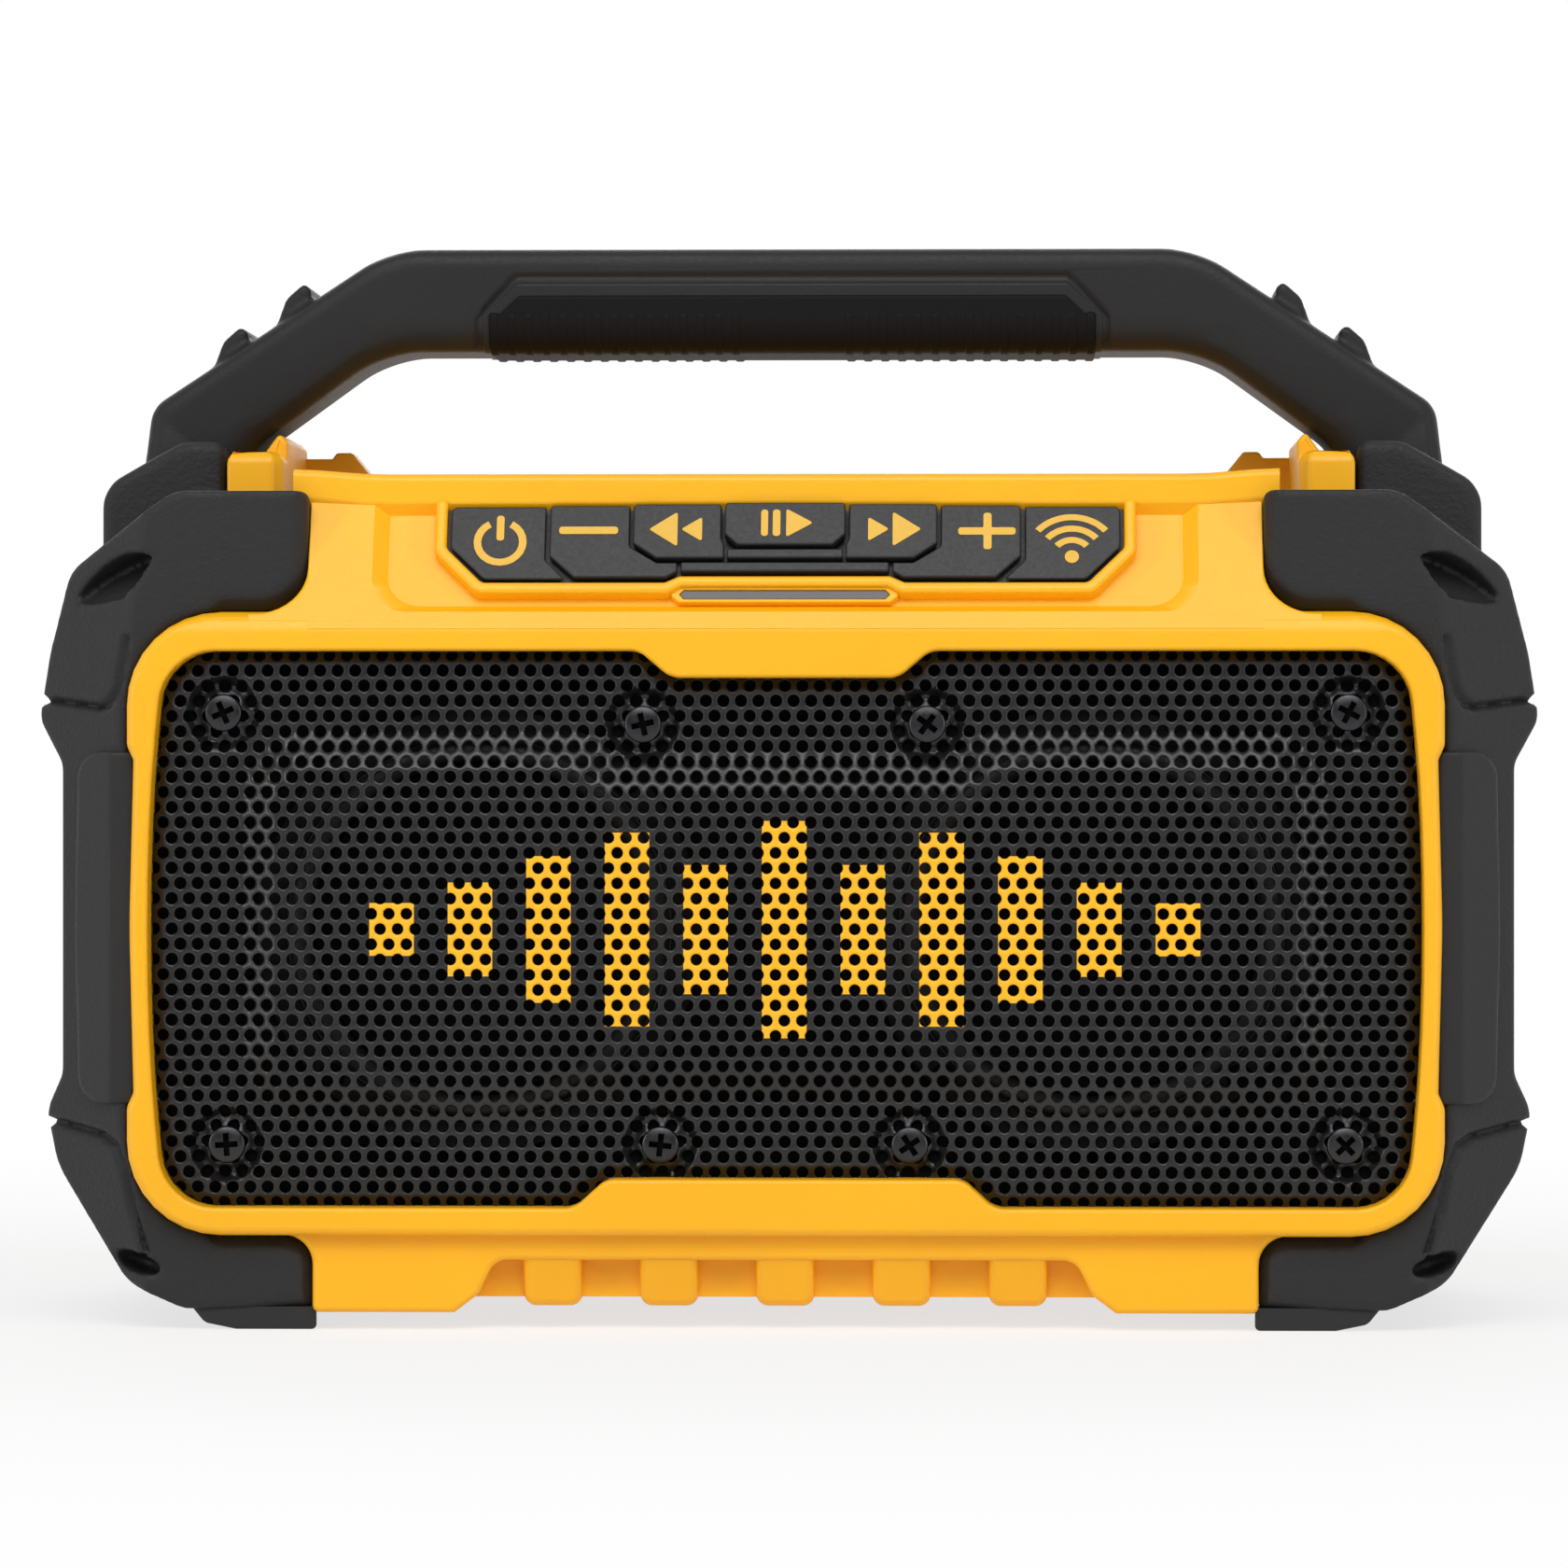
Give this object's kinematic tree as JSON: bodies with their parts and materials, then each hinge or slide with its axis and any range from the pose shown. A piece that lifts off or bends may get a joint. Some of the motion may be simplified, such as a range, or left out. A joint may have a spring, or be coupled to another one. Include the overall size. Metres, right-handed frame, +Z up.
{
  "type": "jobsite wireless speaker",
  "caption": "Rugged free-standing wireless speaker with yellow housing, black corner bumpers, embossed perforated grille, top keypad, fixed carrying handle and rear battery bay.",
  "frame": {"origin": "on the ground under the middle of the speaker's box", "axes": "+X to the right seen from the front, +Y from the grille to the back, +Z up"},
  "size_m": [0.2586, 0.13, 0.188],
  "materials": {
    "housing_plastic": "moulded, satin",
    "bumper_rubber": "moulded rubber, fine grain",
    "pad_rubber": "moulded rubber, smooth",
    "seal_rubber": "smooth",
    "grille_sheet": "satin black paint",
    "black_screw": "black oxide",
    "screw_steel": "bright",
    "driver_frame": "black paint",
    "magnet_steel": "zinc plated",
    "cone": "pressed, matt",
    "key_plastic": "satin",
    "trim_plastic": "satin",
    "circuit_board": "solder mask",
    "lens_plastic": "smoked, clear",
    "handle_plastic": "moulded, fine grain",
    "grip_rubber": "ribbed rubber",
    "socket_plastic": "moulded",
    "blade_brass": "plain"
  },
  "bodies": {
    "root": {"front_housing": "housing_plastic", "rear_housing": "housing_plastic", "back_panel": "housing_plastic", "battery_bay": "socket_plastic", "port_tray": "housing_plastic", "housing_seal": "seal_rubber", "speaker_grille": "grille_sheet", "grille_screws": "black_screw", "driver_frame_left": "driver_frame", "driver_frame_right": "driver_frame", "driver_magnet_left": "magnet_steel", "driver_magnet_right": "magnet_steel", "driver_surround_left": "seal_rubber", "driver_surround_right": "seal_rubber", "driver_screws": "screw_steel", "keypad_trim": "trim_plastic", "key_board": "circuit_board", "dome_switches": "screw_steel", "key_board_screws": "screw_steel", "status_lens": "lens_plastic", "status_lights": "lens_plastic", "front_bumper_left": "bumper_rubber", "front_bumper_right": "bumper_rubber", "rear_bumper_left": "bumper_rubber", "rear_bumper_right": "bumper_rubber", "side_pad_left": "pad_rubber", "side_pad_right": "pad_rubber", "side_panel_left": "pad_rubber", "side_panel_right": "pad_rubber", "feet": "pad_rubber", "handle_core": "handle_plastic", "handle_grip": "grip_rubber", "handle_screws": "screw_steel", "main_board": "circuit_board", "main_board_screws": "screw_steel", "battery_terminals": "socket_plastic", "terminal_blades": "blade_brass", "port_panel": "socket_plastic", "usb_socket": "screw_steel", "aux_jack": "socket_plastic", "dc_jack": "socket_plastic", "port_cover_pin": "screw_steel", "case_screws": "screw_steel"},
    "key_power": {"key_power": "key_plastic"},
    "key_volume_down": {"key_volume_down": "key_plastic"},
    "key_previous": {"key_previous": "key_plastic"},
    "key_play": {"key_play": "key_plastic"},
    "key_next": {"key_next": "key_plastic"},
    "key_volume_up": {"key_volume_up": "key_plastic"},
    "key_pairing": {"key_pairing": "key_plastic"},
    "driver_cone_left": {"driver_cone_left": "cone"},
    "driver_cone_right": {"driver_cone_right": "cone"},
    "port_cover": {"port_cover": "grip_rubber"}
  },
  "joints": [
    {"name": "power_press", "type": "slide", "parent": "root", "child": "key_power", "axis": [0, 0.8988, -0.4384], "range_m": [0, 0.0008], "stiffness_N_per_m": 800},
    {"name": "volume_down_press", "type": "slide", "parent": "root", "child": "key_volume_down", "axis": [0, 0.8988, -0.4384], "range_m": [0, 0.0008], "stiffness_N_per_m": 800},
    {"name": "previous_press", "type": "slide", "parent": "root", "child": "key_previous", "axis": [0, 0.8988, -0.4384], "range_m": [0, 0.0008], "stiffness_N_per_m": 800},
    {"name": "play_press", "type": "slide", "parent": "root", "child": "key_play", "axis": [0, 0.8988, -0.4384], "range_m": [0, 0.0008], "stiffness_N_per_m": 800},
    {"name": "next_press", "type": "slide", "parent": "root", "child": "key_next", "axis": [0, 0.8988, -0.4384], "range_m": [0, 0.0008], "stiffness_N_per_m": 800},
    {"name": "volume_up_press", "type": "slide", "parent": "root", "child": "key_volume_up", "axis": [0, 0.8988, -0.4384], "range_m": [0, 0.0008], "stiffness_N_per_m": 800},
    {"name": "pairing_press", "type": "slide", "parent": "root", "child": "key_pairing", "axis": [0, 0.8988, -0.4384], "range_m": [0, 0.0008], "stiffness_N_per_m": 800},
    {"name": "left_cone_stroke", "type": "slide", "parent": "root", "child": "driver_cone_left", "axis": [0, -1, 0], "range_m": [-0.002, 0.002], "stiffness_N_per_m": 600},
    {"name": "right_cone_stroke", "type": "slide", "parent": "root", "child": "driver_cone_right", "axis": [0, -1, 0], "range_m": [-0.002, 0.002], "stiffness_N_per_m": 600},
    {"name": "port_cover_hinge", "type": "hinge", "parent": "root", "child": "port_cover", "pos_m": [0.079, 0.0612, 0.0746], "axis": [-1, 0, 0], "range_deg": [0, 100]}
  ]
}
